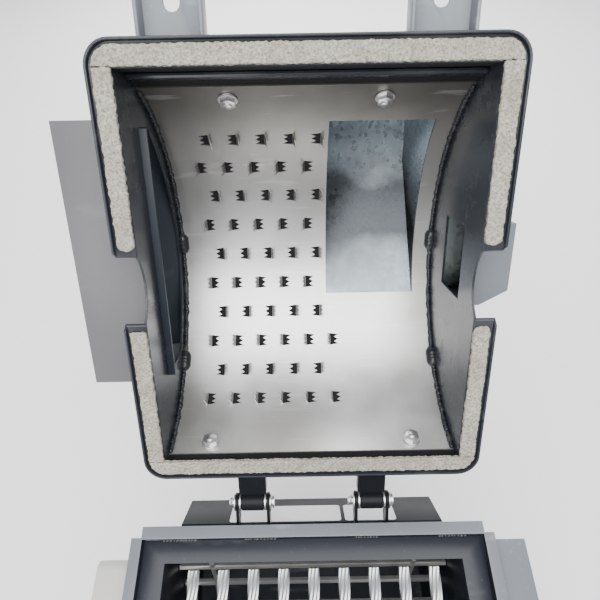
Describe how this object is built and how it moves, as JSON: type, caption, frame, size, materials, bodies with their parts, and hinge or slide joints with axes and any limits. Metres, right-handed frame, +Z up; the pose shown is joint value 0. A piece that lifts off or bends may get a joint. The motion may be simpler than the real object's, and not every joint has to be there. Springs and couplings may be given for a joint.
{
  "type": "drum nut huller",
  "caption": "Drum-type nut huller with a hinged half-round hood swung open, toothed lining sheet, wire-finger drum, feed hopper, side outlet chute and steel stand.",
  "frame": {"origin": "on the floor, under the centre of the whole outline with the hood open", "axes": "+X along the drum axis towards the drive side, +Y towards the hood hinge, +Z up"},
  "size_m": [0.597, 1.2708, 1.1851],
  "materials": {
    "anthracite_paint": "satin grey-black enamel, worn along edges",
    "blue_grey_paint": "satin blue-grey enamel",
    "raw_steel": "mill-finish sheet with scratches",
    "galvanised": "zinc spangle",
    "zinc": "bright zinc plating",
    "foam": "frayed felt-like foam strip",
    "rubber": "matt black",
    "cast": "painted casting",
    "green_plastic": "gloss",
    "red_plastic": "gloss",
    "light_cover": "pale cream-grey enamel"
  },
  "bodies": {
    "base": {"border_frame": "blue_grey_paint", "seal_ledge_front": "blue_grey_paint", "seal_ledge_rear": "blue_grey_paint", "casing_end_left": "blue_grey_paint", "casing_end_right": "blue_grey_paint", "casing_front": "blue_grey_paint", "casing_rear": "blue_grey_paint", "lower_grate": "raw_steel", "husk_funnel": "blue_grey_paint", "hinge_bracket_left": "anthracite_paint", "hinge_bracket_right": "anthracite_paint", "hinge_pin_left": "zinc", "hinge_pin_right": "zinc", "rear_apron": "anthracite_paint", "bearing_left": "cast", "bearing_right": "cast", "bearing_cover_left": "light_cover", "drive_cover_right": "blue_grey_paint", "stand_left": "blue_grey_paint", "stand_right": "blue_grey_paint", "stand_tie_front": "blue_grey_paint", "motor_plate": "blue_grey_paint", "motor_body": "blue_grey_paint", "terminal_box": "rubber", "drive_belt": "rubber", "clamp_bracket_left": "anthracite_paint", "clamp_bracket_right": "anthracite_paint", "switch_box": "light_cover"},
    "hood": {"hood_shell": "anthracite_paint", "hood_end_left": "anthracite_paint", "hood_end_right": "anthracite_paint", "rim_front": "anthracite_paint", "rim_rear": "anthracite_paint", "rim_seal_front": "foam", "rim_seal_rear": "foam", "toothed_sheet": "raw_steel", "sheet_bolt_front_left": "zinc", "sheet_bolt_front_right": "zinc", "sheet_bolt_rear_left": "zinc", "sheet_bolt_rear_right": "zinc", "outlet_chute": "blue_grey_paint", "feed_hopper": "galvanised", "side_pocket": "galvanised", "clamp_lug_left": "blue_grey_paint", "clamp_lug_right": "blue_grey_paint", "hinge_arm_left": "anthracite_paint", "hinge_arm_right": "anthracite_paint"},
    "drum": {"drum_core": "anthracite_paint", "drum_pulley": "cast", "finger_bar_1": "raw_steel", "finger_bar_2": "raw_steel", "finger_bar_3": "raw_steel", "finger_bar_4": "raw_steel", "finger_bar_5": "raw_steel", "finger_bar_6": "raw_steel"},
    "motor_rotor": {"motor_pulley": "raw_steel"},
    "swing_bolt_left": {"swing_bolt_left": "zinc"},
    "swing_bolt_right": {"swing_bolt_right": "zinc"},
    "button_start": {"button_start": "green_plastic"},
    "button_stop": {"button_stop": "red_plastic"}
  },
  "joints": [
    {"name": "hood_hinge", "type": "hinge", "parent": "base", "child": "hood", "pos_m": [0.0035, -0.00236, 0.682], "axis": [1, 0, 0], "range_deg": [0, 128]},
    {"name": "drum_spin", "type": "hinge", "parent": "base", "child": "drum", "pos_m": [0.0035, -0.31836, 0.64], "axis": [1, 0, 0], "continuous": true},
    {"name": "motor_spin", "type": "hinge", "parent": "base", "child": "motor_rotor", "pos_m": [0.0035, -0.15336, 0.19], "axis": [1, 0, 0], "continuous": true},
    {"name": "clamp_swing_left", "type": "hinge", "parent": "base", "child": "swing_bolt_left", "pos_m": [-0.1335, -0.61836, 0.646], "axis": [-1, 0, 0], "range_deg": [0, 180]},
    {"name": "clamp_swing_right", "type": "hinge", "parent": "base", "child": "swing_bolt_right", "pos_m": [0.1405, -0.61836, 0.646], "axis": [-1, 0, 0], "range_deg": [0, 180]},
    {"name": "start_press", "type": "slide", "parent": "base", "child": "button_start", "axis": [0, 1, 0], "range_m": [0, 0.004], "stiffness_N_per_m": 500, "springref_m": -0.002},
    {"name": "stop_press", "type": "slide", "parent": "base", "child": "button_stop", "axis": [0, 1, 0], "range_m": [0, 0.004], "stiffness_N_per_m": 500, "springref_m": -0.002}
  ],
  "couplings": [
    {"joint": "motor_spin", "follows": "drum_spin", "ratio": 2.578}
  ]
}
